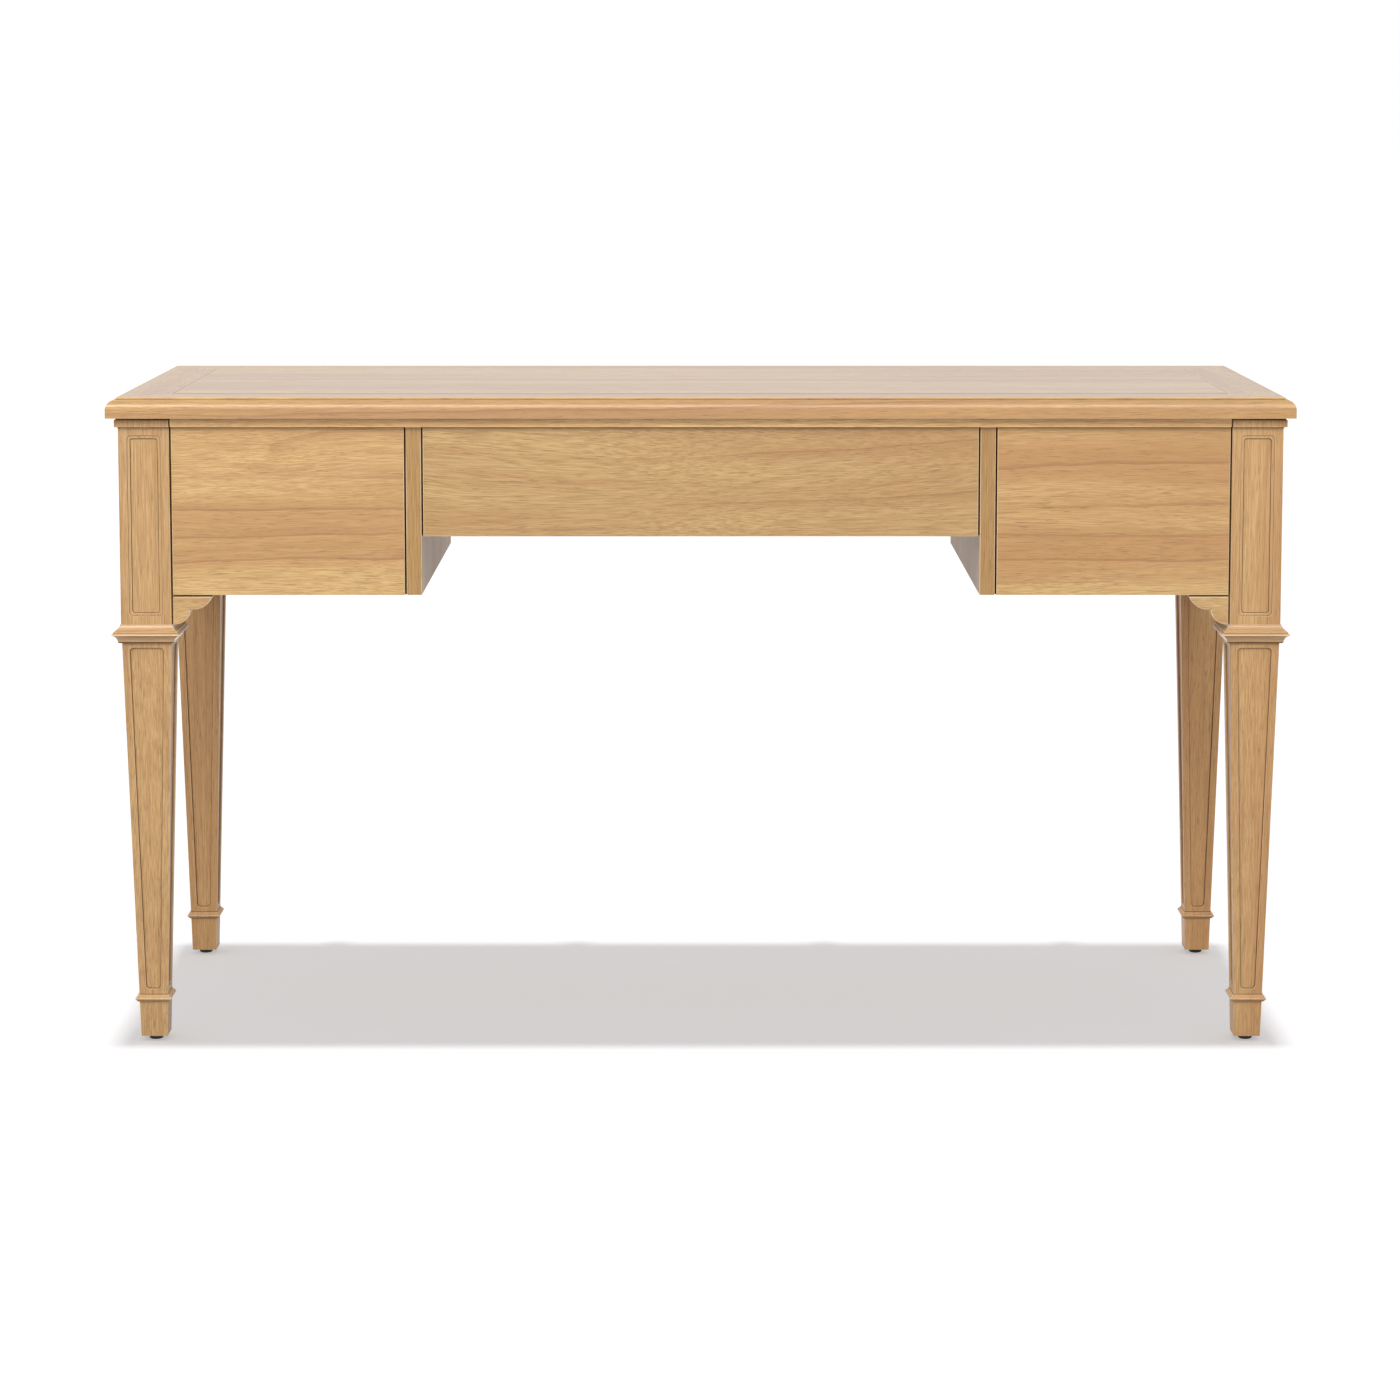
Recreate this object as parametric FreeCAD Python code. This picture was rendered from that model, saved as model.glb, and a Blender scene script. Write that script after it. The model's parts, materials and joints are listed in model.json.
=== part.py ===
import FreeCAD, Part
import math
import os
from FreeCAD import Vector

# Writing desk with three drawers, in millimetres.
# X runs along the desk, +Y is the plain back, -Y is the drawer side, and Z is up from the floor.
# The origin is on the floor, under the middle of the top.

# Overall
desk_length = 1400.0
desk_depth = 525.0
desk_height = 778.0

# Top
top_thickness = 24.0
top_overhang = 13.0       # past the legs' outer faces, all round
border_width = 70.0       # mitred moulded boards that frame the field panel
arris_step = 2.5          # small upright step above the round
arris_shelf = 0.5
edge_round = 11.0
groove_width = 2.4        # V groove along the joint of border and field
groove_depth = 1.6

# Legs
leg_width = 60.0
taper_top_width = 58.4
foot_width = 31.5
glide_height = 6.0
collar_height = 22.0
collar_reach = 10.5
collar_lip_drop = 11.5    # from the collar's top to its lip
collar_lip_height = 0.6
collar_shelf = 1.0
collar_shoulder = 7.0     # width and drop of the round above the lip
collar_foot_reach = 3.6
collar_foot_height = 3.0
collar_round_bulge = 0.84   # of the shoulder's round, off its chord
cove_middle_reach = 0.28    # where the cove's middle lies, as shares of its reach and drop
cove_middle_drop = 0.42
ankle_height = 49.0       # underside of the ankle band, above the floor
ankle_reach = 4.5
ankle_under_reach = 1.5
ankle_under_height = 3.4
ankle_rim_height = 0.8
ankle_top_height = 4.6
sunk_margin = 10.0
sunk_border = 3.5
sunk_step = 1.0
sunk_depth = 2.5
sunk_radius = 5.0
taper_panel_margin = 8.5
taper_panel_top_gap = 6.0
taper_panel_foot_gap = 6.5
taper_panel_fullness = 0.8  # largest corner radius, as a share of the panel's half width

# Strip under the top
strip_height = 11.0
strip_reach = 4.0
strip_thickness = 18.0

# Carcass
pedestal_height = 200.0   # below the strip
pedestal_width = 279.0    # between a leg and its divider
centre_height = 130.0     # of the centre drawer and its back panel
panel_thickness = 18.0
panel_setback = 1.0       # behind the legs' outer faces
divider_thickness = 18.0
shadow_gap = 2.0
shadow_gap_depth = 8.0
bottom_thickness = 12.0
rail_width = 60.0

# Brackets
bracket_length = 48.0
bracket_height = 33.0
bracket_step_length = 25.5
bracket_step_drop = 15.0
bracket_toe = 4.0

# Drawers
front_thickness = 18.0
box_side_thickness = 12.0
box_bottom_thickness = 5.0
box_bottom_lift = 8.0
box_length = 420.0
centre_box_height = 95.0
side_box_height = 145.0
side_clearance = 10.0
box_underside_gap = 9.0
runner_height = 14.0
runner_bite = 6.0
runner_clearance = 0.4
runner_setback = 3.0      # behind the drawer front
spacer_height = 40.0
knob_radius = 15.0
knob_neck_radius = 5.5
knob_stud_radius = 2.75
stud_clearance = 0.25
knob_plate_radius = 10.0
knob_plate_thickness = 2.5
knob_length = 25.0
knob_dome = 6.0
knob_spacing = 330.0      # between the centre drawer's two knobs

# Floor glides
glide_radius = 8.5
glide_edge_round = 1.5
glide_stem_radius = 3.0
glide_stem_length = 18.0

# Levels and faces that follow from the sizes above
top_under = desk_height - top_thickness
strip_bottom = top_under - strip_height
pedestal_bottom = strip_bottom - pedestal_height
centre_bottom = strip_bottom - centre_height
collar_top = pedestal_bottom - shadow_gap - bracket_height
collar_bottom = collar_top - collar_height
leg_face_x = desk_length / 2 - top_overhang
leg_face_y = desk_depth / 2 - top_overhang
leg_inner_x = leg_face_x - leg_width
leg_inner_y = leg_face_y - leg_width
panel_face_x = leg_face_x - panel_setback
panel_face_y = leg_face_y - panel_setback
panel_back_x = panel_face_x - panel_thickness
panel_back_y = panel_face_y - panel_thickness
divider_outer = leg_inner_x - pedestal_width
divider_inner = divider_outer - divider_thickness
drawer_back_y = -panel_face_y + front_thickness

parts = {}


def box(x0, x1, y0, y1, z0, z1):
    """A block between two opposite corners."""
    low = Vector(min(x0, x1), min(y0, y1), min(z0, z1))
    return Part.makeBox(abs(x1 - x0), abs(y1 - y0), abs(z1 - z0), low)


def flipped(shape, x=False, y=False):
    """A copy mirrored across the desk's middle planes."""
    copy = shape.copy()
    if x:
        copy = copy.mirror(Vector(0, 0, 0), Vector(1, 0, 0))
    if y:
        copy = copy.mirror(Vector(0, 0, 0), Vector(0, 1, 0))
    return copy


def turned(shape, quarters):
    """A copy turned about the Z axis by quarter turns."""
    copy = shape.copy()
    copy.rotate(Vector(0, 0, 0), Vector(0, 0, 1), 90 * quarters)
    return copy


def moved(shape, x=0.0, y=0.0, z=0.0):
    copy = shape.copy()
    copy.translate(Vector(x, y, z))
    return copy


def polygon(points):
    """A closed face through points."""
    return Part.Face(Part.makePolygon(points + [points[0]]))


def square_frustum(z0, width0, z1, width1):
    """A block about the Z axis whose square section changes evenly from z0 to z1."""
    rings = []
    for z, width in ((z0, width0), (z1, width1)):
        h = width / 2
        corners = [Vector(-h, -h, z), Vector(h, -h, z), Vector(h, h, z), Vector(-h, h, z)]
        rings.append(Part.makePolygon(corners + [corners[0]]))
    return Part.makeLoft(rings, True, True)


def mitred(profile, length, reach, width):
    """One side of a moulding that runs round a rectangle, cut at 45 degrees at both ends.

    The profile lies in the YZ plane, with Y = 0 at the side's datum line and +Y outwards.
    The piece runs along X, is length long at the datum, and its profile spans -width to reach.
    """
    half = length / 2
    run = profile.extrude(Vector(length + 2 * reach, 0, 0))
    run.translate(Vector(-half - reach, 0, 0))
    box_z = profile.BoundBox
    plan = [
        Vector(-half - reach, reach, box_z.ZMin),
        Vector(half + reach, reach, box_z.ZMin),
        Vector(half - width, -width, box_z.ZMin),
        Vector(-half + width, -width, box_z.ZMin),
    ]
    return run.common(polygon(plan).extrude(Vector(0, 0, box_z.ZLength)))


def arc(start, middle, end):
    return Part.Arc(start, middle, end).toShape()


def line(start, end):
    return Part.LineSegment(start, end).toShape()


# Top


def field_panel():
    """The middle of the top. Its chamfered upper edge is one side of the groove."""
    x = desk_length / 2 - border_width
    y = desk_depth / 2 - border_width
    groove_floor = desk_height - groove_depth
    rings = []
    for z, inset in ((groove_floor, 0.0), (desk_height, groove_width / 2)):
        px, py = x - inset, y - inset
        corners = [Vector(-px, -py, z), Vector(px, -py, z), Vector(px, py, z), Vector(-px, py, z)]
        rings.append(Part.makePolygon(corners + [corners[0]]))
    body = box(-x, x, -y, y, top_under, groove_floor)
    return body.fuse(Part.makeLoft(rings, True, True)).removeSplitter()


def border_profile():
    """Moulded board: a chamfer at the groove, a small step at the arris, then a quarter round."""
    round_top = desk_height - arris_step
    arris_y = -edge_round - arris_shelf
    corner = edge_round * math.sqrt(0.5)
    p = [
        Vector(0, -border_width, top_under),
        Vector(0, -border_width, desk_height - groove_depth),
        Vector(0, -border_width + groove_width / 2, desk_height),
        Vector(0, arris_y, desk_height),
        Vector(0, arris_y, round_top),
        Vector(0, -edge_round, round_top),
        Vector(0, 0, round_top - edge_round),
        Vector(0, 0, top_under),
    ]
    middle = Vector(0, corner - edge_round, round_top - edge_round + corner)
    edges = [line(p[i], p[i + 1]) for i in range(5)]
    edges += [arc(p[5], middle, p[6]), line(p[6], p[7]), line(p[7], p[0])]
    return Part.Face(Part.Wire(edges))


def border_board(length, half_depth):
    return moved(mitred(border_profile(), length, 0.0, border_width), y=half_depth)


def make_top():
    parts["top_panel"] = field_panel()
    back = border_board(desk_length, desk_depth / 2)
    right = turned(border_board(desk_depth, desk_length / 2), -1)
    parts["top_border_back"] = back
    parts["top_border_front"] = flipped(back, y=True)
    parts["top_border_right"] = right
    parts["top_border_left"] = flipped(right, x=True)


# Legs, each built about its own axis with its outer faces on -X and -Y


def leg_width_at(z):
    """Width of the tapered part at height z."""
    share = (z - glide_height) / (collar_bottom - glide_height)
    return foot_width + (taper_top_width - foot_width) * share


def outline_prism(corners, depth, radius):
    """A prism along +Y over four corners in the XZ plane, with rounded long edges."""
    prism = polygon(corners).extrude(Vector(0, depth, 0))
    upright = [e for e in prism.Edges if abs(e.tangentAt(e.FirstParameter).y) > 0.99]
    return prism.makeFillet(radius, upright)


def block_recess(margin, depth, radius):
    """Cutter for one level of the sunk panel on the block's -Y face."""
    x = leg_width / 2 - margin
    low, high = collar_top + margin, strip_bottom - margin
    y = -leg_width / 2
    corners = [Vector(-x, y, low), Vector(x, y, low), Vector(x, y, high), Vector(-x, y, high)]
    return outline_prism(corners, depth, radius)


def leg_block():
    h = leg_width / 2
    block = box(-h, h, -h, h, collar_bottom, top_under)
    outer = block_recess(sunk_margin, sunk_step, sunk_radius)
    inner_margin = sunk_margin + sunk_border
    inner = block_recess(inner_margin, sunk_depth, sunk_radius - sunk_border / 2)
    recess = outer.fuse(inner)
    block = block.cut(recess)
    return block.cut(turned(recess, -1))


def leg_cap():
    """The strip's return on the leg's two outer faces."""
    h = leg_width / 2
    reach = h + strip_reach
    return box(-reach, h, -reach, h, strip_bottom, top_under)


def leg_taper():
    """Tapered shaft with a shallow sunk panel on all four faces."""
    shaft = square_frustum(glide_height, foot_width, collar_bottom, taper_top_width)
    sunk = 2 * sunk_depth
    core = square_frustum(
        glide_height, foot_width - sunk, collar_bottom, taper_top_width - sunk
    )
    low = ankle_top() + taper_panel_foot_gap
    high = collar_bottom - taper_panel_top_gap
    low_x = leg_width_at(low) / 2 - taper_panel_margin
    high_x = leg_width_at(high) / 2 - taper_panel_margin
    y = -leg_width
    corners = [
        Vector(-low_x, y, low),
        Vector(low_x, y, low),
        Vector(high_x, y, high),
        Vector(-high_x, y, high),
    ]
    radius = min(sunk_radius, taper_panel_fullness * low_x)
    through = outline_prism(corners, 2 * leg_width, radius)
    recess = through.cut(core)
    return shaft.cut(recess).cut(turned(recess, 1))


def ankle_top():
    return ankle_height + ankle_under_height + ankle_rim_height + ankle_top_height


def ankle_band():
    """Raised band round the ankle: a short bevel below, a thin rim and a longer bevel above."""
    rim_low = ankle_height + ankle_under_height
    rim_high = rim_low + ankle_rim_height
    rim = leg_width_at(rim_low) + 2 * ankle_reach
    under = leg_width_at(ankle_height) + 2 * ankle_under_reach
    below = square_frustum(ankle_height, under, rim_low, rim)
    middle = square_frustum(rim_low, rim, rim_high, rim)
    above = square_frustum(rim_high, rim, ankle_top(), leg_width_at(ankle_top()))
    return below.fuse([middle, above])


def leg():
    stem_hole = Part.makeCylinder(
        glide_stem_radius + stud_clearance,
        glide_stem_length + stud_clearance,
        Vector(0, 0, glide_height),
    )
    whole = leg_block().fuse([leg_cap(), leg_taper(), ankle_band()])
    return whole.removeSplitter().cut(stem_hole)


def collar_profile():
    """Collar section: a shelf, a flat round, a lip with a bevel above it, and a cove below."""

    def at(reach, drop):
        return Vector(0, reach, collar_top - drop)

    shoulder = collar_shelf + collar_shoulder
    cove_drop = collar_height - collar_foot_height
    half_shoulder = collar_shelf + collar_shoulder / 2
    hollow_reach = collar_foot_reach + cove_middle_reach * (collar_reach - collar_foot_reach)
    lip_low = collar_lip_drop + collar_lip_height
    hollow_drop = lip_low + cove_middle_drop * (cove_drop - lip_low)
    edges = [
        line(at(0, collar_height), at(0, 0)),
        line(at(0, 0), at(collar_shelf, 0)),
        line(at(collar_shelf, 0), at(collar_shelf, collar_shelf)),
        arc(
            at(collar_shelf, collar_shelf),
            at(half_shoulder + collar_round_bulge, half_shoulder - collar_round_bulge),
            at(shoulder, shoulder),
        ),
        line(at(shoulder, shoulder), at(shoulder, shoulder + collar_shelf)),
        line(at(shoulder, shoulder + collar_shelf), at(collar_reach, collar_lip_drop)),
        line(at(collar_reach, collar_lip_drop), at(collar_reach, lip_low)),
        arc(
            at(collar_reach, lip_low),
            at(hollow_reach, hollow_drop),
            at(collar_foot_reach, cove_drop),
        ),
        line(at(collar_foot_reach, cove_drop), at(collar_foot_reach, collar_height)),
        line(at(collar_foot_reach, collar_height), at(0, collar_height)),
    ]
    return Part.Face(Part.Wire(edges))


def leg_collar():
    """Four mitred mouldings round the leg."""
    side = moved(mitred(collar_profile(), leg_width, collar_reach, 0.0), y=leg_width / 2)
    return Part.makeCompound([turned(side, quarters) for quarters in range(4)])


def floor_glide():
    """A round pad with a stem pressed up into the leg."""
    pad = Part.makeCylinder(glide_radius, glide_height)
    rim = [e for e in pad.Edges if e.BoundBox.ZMax < 0.1 and e.Length > glide_radius]
    pad = pad.makeFillet(glide_edge_round, rim)
    stem = Part.makeCylinder(glide_stem_radius, glide_stem_length, Vector(0, 0, glide_height))
    return pad.fuse(stem).removeSplitter()


def at_corners(shape):
    """Copies of a shape built for the left front corner, for all four corners by name."""
    placed = moved(shape, x=-leg_face_x + leg_width / 2, y=-leg_face_y + leg_width / 2)
    return {
        "front_left": placed,
        "front_right": flipped(placed, x=True),
        "back_left": flipped(placed, y=True),
        "back_right": flipped(placed, x=True, y=True),
    }


def make_legs():
    for corner, shape in at_corners(leg()).items():
        parts["leg_" + corner] = shape
    for corner, shape in at_corners(leg_collar()).items():
        parts["leg_collar_" + corner] = shape
    parts["floor_glides"] = Part.makeCompound(list(at_corners(floor_glide()).values()))


# Carcass


def rebated(x0, x1, face_y, thickness, z0, z1):
    """A board whose face is narrower than its back, which leaves a shadow gap at each end."""
    split = face_y - shadow_gap_depth
    back = box(x0, x1, face_y - thickness, split, z0, z1)
    face = box(x0 + shadow_gap, x1 - shadow_gap, split, face_y, z0, z1)
    return back.fuse(face).removeSplitter()


def make_strips():
    """Strips under the top, between the leg caps, with the screwed rails behind them."""
    face_y = leg_face_y + strip_reach
    depth = strip_reach + strip_thickness
    back = rebated(-leg_inner_x, leg_inner_x, face_y, depth, strip_bottom, top_under)
    parts["strip_back"] = back
    parts["strip_front"] = flipped(back, y=True)
    face_x = leg_face_x + strip_reach
    side = rebated(-leg_inner_y, leg_inner_y, face_x, depth, strip_bottom, top_under)
    parts["strip_right"] = turned(side, -1)
    parts["strip_left"] = flipped(parts["strip_right"], x=True)
    rail_y = leg_face_y - strip_thickness
    rail = box(-leg_inner_x, leg_inner_x, rail_y - rail_width, rail_y, strip_bottom, top_under)
    parts["top_rail_back"] = rail
    parts["top_rail_front"] = flipped(rail, y=True)


def make_panels():
    """Back panels, end panels, dividers and the pedestals' bottoms."""
    side = rebated(
        divider_outer, leg_inner_x, panel_face_y, panel_thickness, pedestal_bottom, strip_bottom
    )
    parts["back_panel_right"] = side
    parts["back_panel_left"] = flipped(side, x=True)
    parts["back_panel_centre"] = rebated(
        -divider_inner, divider_inner, panel_face_y, panel_thickness, centre_bottom, strip_bottom
    )
    end = rebated(
        -leg_inner_y, leg_inner_y, panel_face_x, panel_thickness, pedestal_bottom, strip_bottom
    )
    parts["end_panel_right"] = turned(end, -1)
    parts["end_panel_left"] = flipped(parts["end_panel_right"], x=True)
    divider = box(
        divider_inner, divider_outer, -panel_face_y, panel_face_y, pedestal_bottom, strip_bottom
    )
    parts["divider_right"] = divider
    parts["divider_left"] = flipped(divider, x=True)
    bottom = box(
        divider_outer,
        panel_back_x,
        drawer_back_y + runner_setback,
        panel_back_y,
        pedestal_bottom,
        pedestal_bottom + bottom_thickness,
    )
    for corner in at_corners(leg_footprint()).values():
        bottom = bottom.cut(corner)
    parts["pedestal_bottom_right"] = bottom
    parts["pedestal_bottom_left"] = flipped(bottom, x=True)


def leg_footprint():
    h = leg_width / 2
    return box(-h, h, -h, h, collar_bottom, top_under)


def bracket(under_panel=True):
    """Shaped bracket beside the back right leg, running along X, with two rounded steps.

    Under a fixed panel its back half reaches up to the panel, behind the shadow gap.
    """
    top = collar_top + bracket_height
    x0 = leg_inner_x
    step_x = x0 - bracket_length + bracket_step_length
    step_z = top - bracket_step_drop
    toe_x = x0 - bracket_toe
    y = panel_face_y

    def quarter(x_out, z_high, x_in, z_low):
        """A convex quarter that leaves the high outer point upright and lands level."""
        c = math.sqrt(0.5)
        middle = Vector(x_in - (x_in - x_out) * c, y, z_high - (z_high - z_low) * c)
        return arc(Vector(x_out, y, z_high), middle, Vector(x_in, y, z_low))

    outline = [
        line(Vector(x0, y, top), Vector(x0 - bracket_length, y, top)),
        quarter(x0 - bracket_length, top, step_x, step_z),
        quarter(step_x, step_z, toe_x, collar_top),
        line(Vector(toe_x, y, collar_top), Vector(x0, y, collar_top)),
        line(Vector(x0, y, collar_top), Vector(x0, y, top)),
    ]
    solid = Part.Face(Part.Wire(outline)).extrude(Vector(0, -panel_thickness, 0))
    split = y - shadow_gap_depth
    solid = solid.cut(box(x0 - shadow_gap, x0, y, split, collar_top, top))
    if not under_panel:
        return solid
    tongue = box(x0 - bracket_length, x0, split, y - panel_thickness, top, pedestal_bottom)
    return solid.fuse(tongue).removeSplitter()


def make_brackets():
    along_x = bracket()
    clearance = leg_inner_y - leg_inner_x
    mirrored = flipped(along_x, y=True)
    along_y = moved(turned(mirrored, 1), x=panel_face_x - panel_face_y, y=clearance)
    names = {"back": along_x, "front": flipped(bracket(under_panel=False), y=True)}
    for name, shape in names.items():
        parts["bracket_" + name + "_right"] = shape
        parts["bracket_" + name + "_left"] = flipped(shape, x=True)
    names = {"end_back": along_y, "end_front": flipped(along_y, y=True)}
    for name, shape in names.items():
        parts["bracket_" + name + "_right"] = shape
        parts["bracket_" + name + "_left"] = flipped(shape, x=True)


# Drawers, each in the bay from x0 to x1, with its front on -Y


def runner_level(box_bottom, box_height):
    return box_bottom + box_height / 2


def drawer_side(x_out, inward, box_bottom, box_height):
    """A grooved side. inward is +1 when the drawer's middle lies at larger x."""
    y1 = drawer_back_y + box_length
    side = box(
        x_out,
        x_out + inward * box_side_thickness,
        drawer_back_y,
        y1,
        box_bottom,
        box_bottom + box_height,
    )
    level = runner_level(box_bottom, box_height)
    groove = box(
        x_out,
        x_out + inward * (runner_bite + runner_clearance),
        drawer_back_y + runner_setback - runner_clearance,
        y1,
        level - runner_height / 2 - runner_clearance,
        level + runner_height / 2 + runner_clearance,
    )
    x_in = x_out + inward * box_side_thickness
    slot = bottom_slot(x_in, x_in - inward * box_bottom_thickness, y1, box_bottom)
    return side.cut(groove).cut(slot)


def bottom_slot(x0, x1, y1, box_bottom):
    low = box_bottom + box_bottom_lift
    return box(x0, x1, drawer_back_y, y1, low, low + box_bottom_thickness)


def knob(x, z):
    """A turned knob on a small back plate, with its fixing stud through the drawer front."""
    rim = knob_length - knob_dome
    sphere = (knob_radius**2 + knob_dome**2) / (2 * knob_dome)
    half_angle = math.asin(knob_radius / sphere) / 2
    dome_middle = Vector(
        sphere * math.sin(half_angle), 0, knob_length - sphere * (1 - math.cos(half_angle))
    )
    outline = [
        Vector(0, 0, -front_thickness),
        Vector(knob_stud_radius, 0, -front_thickness),
        Vector(knob_stud_radius, 0, 0),
        Vector(knob_plate_radius, 0, 0),
        Vector(knob_plate_radius, 0, knob_plate_thickness),
        Vector(knob_neck_radius, 0, knob_plate_thickness),
    ]
    neck_middle = Vector(knob_neck_radius, 0, (knob_plate_thickness + rim) / 2)
    rim_point = Vector(knob_radius, 0, rim)
    tip = Vector(0, 0, knob_length)
    edges = [line(a, b) for a, b in zip(outline, outline[1:])]
    edges += [arc(outline[-1], neck_middle, rim_point), arc(rim_point, dome_middle, tip)]
    edges.append(line(tip, outline[0]))
    whole = Part.Face(Part.Wire(edges)).revolve(Vector(0, 0, 0), Vector(0, 0, 1), 360)
    whole.rotate(Vector(0, 0, 0), Vector(1, 0, 0), 90)
    whole.translate(Vector(x, -panel_face_y, z))
    return whole


def drawer(name, x0, x1, front_bottom, box_bottom, box_height, knob_xs):
    """One drawer: front, two grooved sides, back, bottom and knobs."""
    left = x0 + side_clearance
    right = x1 - side_clearance
    y1 = drawer_back_y + box_length
    front = box(
        x0 + shadow_gap,
        x1 - shadow_gap,
        -panel_face_y,
        drawer_back_y,
        front_bottom,
        strip_bottom - shadow_gap,
    )
    knob_z = (front_bottom + strip_bottom - shadow_gap) / 2
    knobs = [knob(x, knob_z) for x in knob_xs]
    for x in knob_xs:
        hole_radius = knob_stud_radius + stud_clearance
        hole_start = Vector(x, -panel_face_y, knob_z)
        front = front.cut(
            Part.makeCylinder(hole_radius, front_thickness, hole_start, Vector(0, 1, 0))
        )
    inner0 = left + box_side_thickness
    inner1 = right - box_side_thickness
    back_low = box_bottom + box_bottom_lift + box_bottom_thickness
    bottom = bottom_slot(
        inner0 - box_bottom_thickness, inner1 + box_bottom_thickness, y1, box_bottom
    )
    back_y = y1 - box_side_thickness
    parts[name + "_drawer_front"] = front
    parts[name + "_drawer_side_left"] = drawer_side(left, 1, box_bottom, box_height)
    parts[name + "_drawer_side_right"] = drawer_side(right, -1, box_bottom, box_height)
    parts[name + "_drawer_back"] = box(
        inner0, inner1, back_y, y1, back_low, box_bottom + box_height
    )
    parts[name + "_drawer_bottom"] = bottom
    parts[name + "_drawer_knob" + ("s" if len(knobs) > 1 else "")] = (
        Part.makeCompound(knobs) if len(knobs) > 1 else knobs[0]
    )


def runner(wall_x, inward, level):
    """A strip on a bay wall that sits in the drawer side's groove."""
    reach = side_clearance + runner_bite
    return box(
        wall_x,
        wall_x + inward * reach,
        drawer_back_y + runner_setback,
        panel_back_y,
        level - runner_height / 2,
        level + runner_height / 2,
    )


def make_drawers():
    side_box_bottom = pedestal_bottom + bottom_thickness + box_underside_gap
    centre_box_bottom = centre_bottom + box_underside_gap
    knob_x = (divider_outer + leg_inner_x) / 2
    drawer(
        "centre",
        -divider_inner,
        divider_inner,
        centre_bottom,
        centre_box_bottom,
        centre_box_height,
        [-knob_spacing / 2, knob_spacing / 2],
    )
    drawer(
        "right",
        divider_outer,
        leg_inner_x,
        pedestal_bottom,
        side_box_bottom,
        side_box_height,
        [knob_x],
    )
    drawer(
        "left",
        -leg_inner_x,
        -divider_outer,
        pedestal_bottom,
        side_box_bottom,
        side_box_height,
        [-knob_x],
    )
    centre_level = runner_level(centre_box_bottom, centre_box_height)
    side_level = runner_level(side_box_bottom, side_box_height)
    parts["centre_drawer_runners"] = Part.makeCompound(
        [runner(-divider_inner, 1, centre_level), runner(divider_inner, -1, centre_level)]
    )
    spacer = box(
        leg_inner_x,
        panel_back_x,
        -leg_inner_y,
        leg_inner_y,
        side_level - spacer_height / 2,
        side_level + spacer_height / 2,
    )
    right_runners = Part.makeCompound(
        [runner(divider_outer, 1, side_level), runner(leg_inner_x, -1, side_level), spacer]
    )
    parts["right_drawer_runners"] = right_runners
    parts["left_drawer_runners"] = flipped(right_runners, x=True)


def write_parts():
    os.makedirs("parts", exist_ok=True)
    for name, shape in parts.items():
        if not shape.isValid():
            raise ValueError(name + " is not a valid solid")
        shape.exportStep(os.path.join("parts", name + ".step"))
        print(name, len(shape.Solids), "solid(s)", round(shape.Volume / 1000, 1), "cm3")


make_top()
make_legs()
make_strips()
make_panels()
make_brackets()
make_drawers()
write_parts()
print(len(parts), "parts")
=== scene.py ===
import bmesh
import bpy
import json
import math
import random
from mathutils import Matrix, Vector

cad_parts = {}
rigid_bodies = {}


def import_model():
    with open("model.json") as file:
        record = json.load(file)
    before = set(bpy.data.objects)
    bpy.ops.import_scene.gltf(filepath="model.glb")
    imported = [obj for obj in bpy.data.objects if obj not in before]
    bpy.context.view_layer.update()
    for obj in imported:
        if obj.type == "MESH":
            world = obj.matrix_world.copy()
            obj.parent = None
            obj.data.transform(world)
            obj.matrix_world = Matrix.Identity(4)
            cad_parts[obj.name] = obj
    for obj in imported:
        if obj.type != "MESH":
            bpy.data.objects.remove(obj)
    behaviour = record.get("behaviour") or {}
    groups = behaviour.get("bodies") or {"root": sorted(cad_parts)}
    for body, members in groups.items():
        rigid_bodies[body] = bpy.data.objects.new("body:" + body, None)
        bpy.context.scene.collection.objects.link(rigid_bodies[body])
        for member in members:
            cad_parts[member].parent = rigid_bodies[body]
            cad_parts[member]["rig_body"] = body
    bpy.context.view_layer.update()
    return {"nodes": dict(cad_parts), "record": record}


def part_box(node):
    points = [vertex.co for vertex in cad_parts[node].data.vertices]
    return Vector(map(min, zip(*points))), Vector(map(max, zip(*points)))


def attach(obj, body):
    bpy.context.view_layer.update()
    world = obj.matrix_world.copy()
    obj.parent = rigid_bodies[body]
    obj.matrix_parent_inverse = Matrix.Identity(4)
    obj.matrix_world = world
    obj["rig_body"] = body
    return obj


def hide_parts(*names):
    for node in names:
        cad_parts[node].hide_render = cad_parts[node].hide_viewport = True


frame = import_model()
dice = random.Random(11)  # grain offsets, the same on every run
slotOf = {part["node"]: part["material_slot"] for part in frame["record"]["subparts"]}
print("frame loaded:", len(frame["nodes"]), "parts")


# ---- shader helpers

def addNode(tree, kind, **settings):
    node = tree.nodes.new(kind)
    for key, value in settings.items():
        setattr(node, key, value)
    return node


def feed(tree, socket, value):
    # a value is either another node's output or a plain number or colour
    if hasattr(value, "links"):
        tree.links.new(value, socket)
    else:
        socket.default_value = value


def mathNode(tree, operation, first, second=None, clamp=False):
    node = addNode(tree, "ShaderNodeMath", operation=operation, use_clamp=clamp)
    feed(tree, node.inputs[0], first)
    if second is not None:
        feed(tree, node.inputs[1], second)
    return node.outputs[0]


def scaledVector(tree, vector, scale):
    node = addNode(tree, "ShaderNodeVectorMath", operation="MULTIPLY")
    feed(tree, node.inputs[0], vector)
    node.inputs[1].default_value = scale
    return node.outputs[0]


def noise(tree, vector, detail=2.0, roughness=0.5, output="Fac"):
    node = addNode(tree, "ShaderNodeTexNoise")
    node.inputs["Scale"].default_value = 1.0
    node.inputs["Detail"].default_value = detail
    node.inputs["Roughness"].default_value = roughness
    feed(tree, node.inputs["Vector"], vector)
    return node.outputs[output]


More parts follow.
